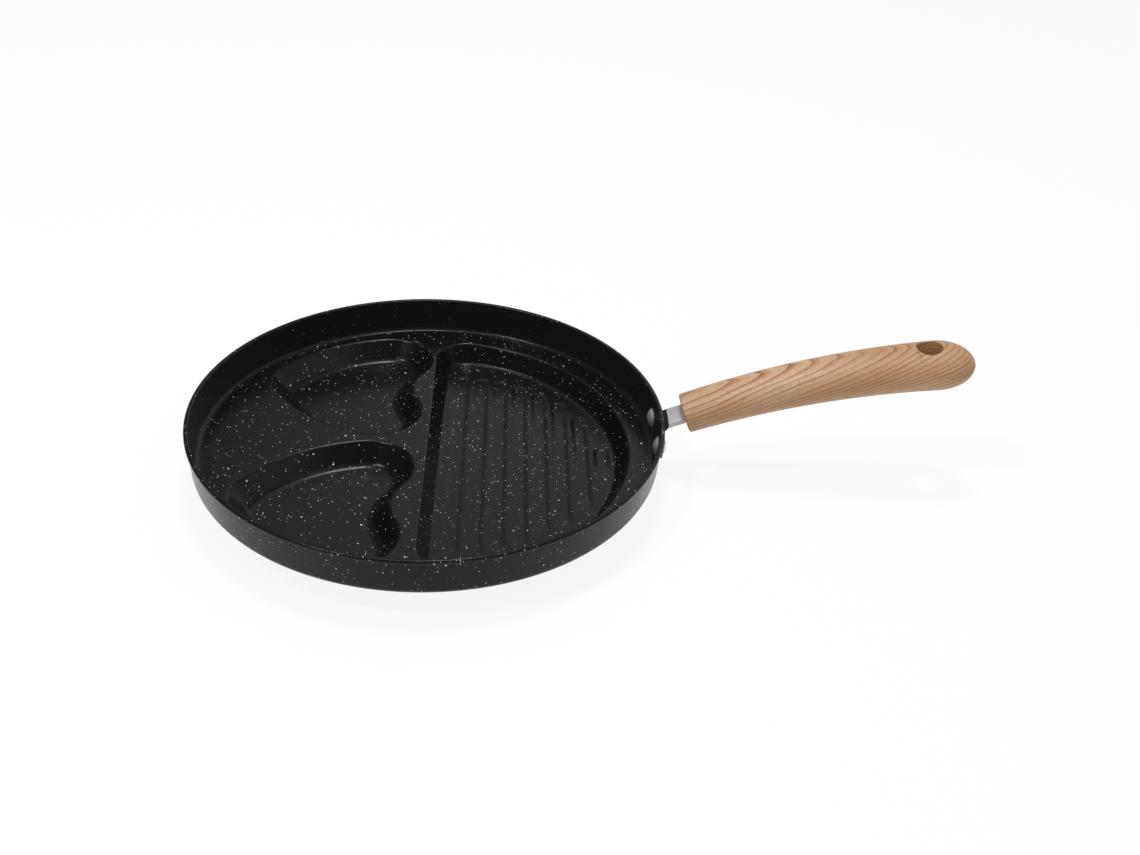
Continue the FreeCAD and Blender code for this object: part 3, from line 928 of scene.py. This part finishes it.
wood = {
    "slope": 26.0, "lean": 10.0, "droop": 0.1, "layer": 2.2, "fineLayer": 0.75,
    "pale": plain(210, 183, 153), "tan": plain(188, 153, 117),
    "line": plain(134, 80, 42), "flame": plain(180, 124, 78),
    "slowWaves": (11.0, 60.0, 40.0), "quickWaves": (50.0, 300.0, 260.0),
    "fibres": (90.0, 2400.0, 2400.0), "flecks": (260.0, 2600.0, 2600.0),
    "strengthWaves": (0.73, 9.0, 25.0),
    "slowBend": 2.2, "quickBend": 0.3, "fineBend": 1.6,
    "lateStart": (0.3, 0.92), "lateEnd": (0.94, 1.0), "fineLate": (0.5, 0.95),
    "slowRange": (0.3, 0.7), "strengthRange": (0.3, 0.68), "fibreRange": (0.4, 0.7),
    "poreRange": (0.6, 0.68), "tail": (0.06, 0.17),  # the tail is in metres from the front
    "tanAtTail": 0.3, "fibreShare": 0.45, "fineShare": 0.3, "poreShare": 0.5,
    "flamePower": 1.4, "flameShares": (0.3, 0.55, 0.15),  # always, by strength and by tail
    "linePower": 4.0, "lineShares": (0.25, 0.6, 0.15),
    "roughness": (0.42, 0.58), "specular": 0.35, "lateHeight": 0.4, "relief": (0.03, 0.5),
}


def woodFinish():
    # growth layers that start along the grip and run out at its top, because the grip is arched
    finish = Finish("ashWood")
    place = finish.place()
    slope, lean = math.radians(wood["slope"]), math.radians(wood["lean"])
    along = Vector((math.cos(slope), 0, math.sin(slope)))
    upward = Vector((
        -math.sin(slope) * math.cos(lean), math.sin(lean), math.cos(slope) * math.cos(lean)))
    ways = (along, upward, along.cross(upward))
    run, rise, side = (finish.vectorMath("DOT_PRODUCT", place, way) for way in ways)
    run = run - (gripFront() * mm).dot(along)
    bent = rise + wood["droop"] * run * run

    def waves(key, detail=2.0, directions=(run, bent, side)):
        scaled = (direction * scale for direction, scale in zip(directions, wood[key]))
        return finish.noise(finish.join(*scaled), detail=detail)

    slow, quick = waves("slowWaves"), waves("quickWaves")
    layers = bent / (wood["layer"] * mm) + wood["slowBend"] * slow + wood["quickBend"] * quick
    ring = layers.fraction()
    number = layers.whole()
    strength = waves("strengthWaves", 1.0, (number, run, side)).between(*wood["strengthRange"])
    late = ring.between(*wood["lateStart"]) * (1 - ring.between(*wood["lateEnd"]))
    fineLayers = bent / (wood["fineLayer"] * mm) + wood["fineBend"] * quick
    fineRing = fineLayers.fraction().between(*wood["fineLate"])
    fibre, flecks = waves("fibres", 3.0), waves("flecks")
    tail = run.between(*wood["tail"])

    def lateShare(power, shares):
        always, byStrength, byTail = shares
        return late.power(power) * (always + byStrength * strength + byTail * tail)

    tanShare = slow.between(*wood["slowRange"]) + wood["tanAtTail"] * tail
    ground = finish.mix(tanShare.clamped(), wood["pale"], wood["tan"])
    fibreShare = fibre.between(*wood["fibreRange"]) * wood["fibreShare"] + wood["fineShare"] * fineRing
    ground = finish.mix(fibreShare.clamped(), ground, wood["flame"])
    color = finish.mix(lateShare(wood["flamePower"], wood["flameShares"]), ground, wood["flame"])
    color = finish.mix(lateShare(wood["linePower"], wood["lineShares"]), color, wood["line"])
    pores = flecks.between(*wood["poreRange"]) * wood["poreShare"]
    return finish.surface({"Specular IOR Level": wood["specular"]}, {
        "Base Color": finish.mix(pores, color, wood["line"]),
        "Roughness": fibre.spread(*wood["roughness"]),
        "Normal": finish.bump(fibre + late * wood["lateHeight"], *wood["relief"]),
    })


# Camera, lamps, world and floor

camera = {
    "azimuth": -4.2824, "elevation": 33.5233, "roll": 4.0839, "distance": 695.43,
    "target": (82.903, -15.842, pan["height"]),
    "focalPixels": 1187.045, "pixelsWide": 1140, "sensorWide": 36, "clip": (0.01, 20),  # clip in metres
}
lamps = {
    # places, aims and sizes in metres, powers in watts
    "overheadBox": {
        "place": (0.05, 0.3, 1.7), "aim": (0.05, 0, 0), "size": (0.3, 0.18), "power": 12.0},
    "sideBox": {
        "place": (-0.75, -0.4, 1.45), "aim": (0, 0, 0), "size": (0.15, 0.15), "power": 9.0},
    "frontFill": {  # a soft fill for the matt parts alone
        "place": (0.35, -1.3, 0.75), "aim": (0.08, 0, 0.03), "size": (0.6, 0.4), "power": 2.5,
        "mirrored": False},
}
studio = {
    "brightWay": (0.5, 0.35, 0.79), "strengths": (0.13, 0.92),
    "band": (0.57, 0.72), "hollow": (0.84, 0.93),  # cosines of the angle from the bright way
    "hollowDepth": 0.75,
}
whiteGround = {
    "radius": 8000.0, "sides": 96, "below": 0.02,
    "matt": (0.9, 0.9, 0.9, 1), "glow": (1, 1, 1, 1), "glowShare": 0.9,
}


def addCamera():
    angles = (camera[key] for key in ("azimuth", "elevation", "roll"))
    azimuth, elevation, roll = (math.radians(angle) for angle in angles)
    back = Vector((
        math.sin(azimuth) * math.cos(elevation),
        -math.cos(azimuth) * math.cos(elevation),
        math.sin(elevation),
    ))
    right = (-back).cross(Vector(upAxis)).normalized()
    up = right.cross(-back)
    sideways = right * math.cos(roll) + up * math.sin(roll)
    upward = up * math.cos(roll) - right * math.sin(roll)
    bpy.ops.object.camera_add()
    viewer = bpy.context.object
    viewer.data.lens = camera["focalPixels"] * camera["sensorWide"] / camera["pixelsWide"]
    viewer.data.sensor_width = camera["sensorWide"]
    viewer.data.clip_start, viewer.data.clip_end = camera["clip"]
    axes = Matrix((sideways, upward, back)).transposed().to_4x4()
    place = (Vector(camera["target"]) + back * camera["distance"]) * mm
    viewer.matrix_world = Matrix.Translation(place) @ axes
    bpy.context.scene.camera = viewer


def addLamp(name, place, aim, size, power, mirrored=True):
    bpy.ops.object.light_add(type="AREA", location=place)
    lamp = bpy.context.object
    lamp.name = name
    lamp.data.shape = "RECTANGLE"
    lamp.data.size, lamp.data.size_y = size
    lamp.data.energy = power
    lamp.rotation_euler = (Vector(place) - Vector(aim)).to_track_quat("Z", "Y").to_euler()
    lamp.visible_glossy = mirrored


def addWorld():
    # a bright patch of sky with a softer middle, over a dim room
    world = bpy.data.worlds.new("studio")
    bpy.context.scene.world = world
    finish = Finish("studio", world)
    around = finish.add("ShaderNodeTexCoord", {}, {}, "Generated")
    towards = Vector(studio["brightWay"]).normalized()
    nearness = finish.vectorMath("DOT_PRODUCT", around, towards)
    lit = nearness.between(*studio["band"])
    hollow = nearness.between(*studio["hollow"])
    lit = lit * lit * (3 - 2 * lit) * (1 - studio["hollowDepth"] * hollow)
    light = finish.add("ShaderNodeBackground", {}, {
        "Color": (1, 1, 1, 1), "Strength": lit.spread(*studio["strengths"])})
    finish.add("ShaderNodeOutputWorld", {}, {"Surface": light})


def seenDirectly(finish):
    # 1 for rays from the camera, from mirrors and through glass
    rays = [finish.add("ShaderNodeLightPath", {}, {}, name) for name in (
        "Is Camera Ray", "Is Glossy Ray", "Is Transmission Ray")]
    return (rays[0] + rays[1] + rays[2]).clamped()


def addFloor():
    bpy.ops.mesh.primitive_circle_add(
        vertices=whiteGround["sides"], radius=whiteGround["radius"] * mm, fill_type="NGON",
        location=(0, 0, -whiteGround["below"] * mm))
    floor = bpy.context.object
    floor.name = "floor"
    settle(floor)
    finish = Finish("whiteFloor")
    seen = seenDirectly(finish)
    matt = finish.add("ShaderNodeBsdfDiffuse", {}, {"Color": whiteGround["matt"]})
    glow = finish.add("ShaderNodeEmission", {}, {"Color": whiteGround["glow"], "Strength": 1.0})
    share = seen * whiteGround["glowShare"]
    mixed = finish.add("ShaderNodeMixShader", {}, {0: share, 1: matt, 2: glow})
    finish.add("ShaderNodeOutputMaterial", {}, {"Surface": mixed})
    floor.data.materials.append(finish.holder)


def standFor(piece, node, material):
    piece.data.materials.clear()
    piece.data.materials.append(material)
    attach(piece, "root")
    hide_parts(node)
    print(node, "made")


standFor(panBody(), "pan_body", coatingFinish())
standFor(handleBracket(), "handle_bracket", steelFinish())
polished = rivetFinish()
standFor(rivet("rearRivet", 1), "rear_rivet", polished)
standFor(rivet("frontRivet", -1), "front_rivet", polished)
standFor(woodenGrip(), "handle", woodFinish())
screwSteel = screwFinish()  # the screw keeps its own mesh
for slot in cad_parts["handle_screw"].material_slots:
    slot.material = screwSteel

bpy.context.scene.view_settings.view_transform = "Standard"
addCamera()
addWorld()
addFloor()
for name, settings in lamps.items():
    addLamp(name, **settings)
print("stage set")
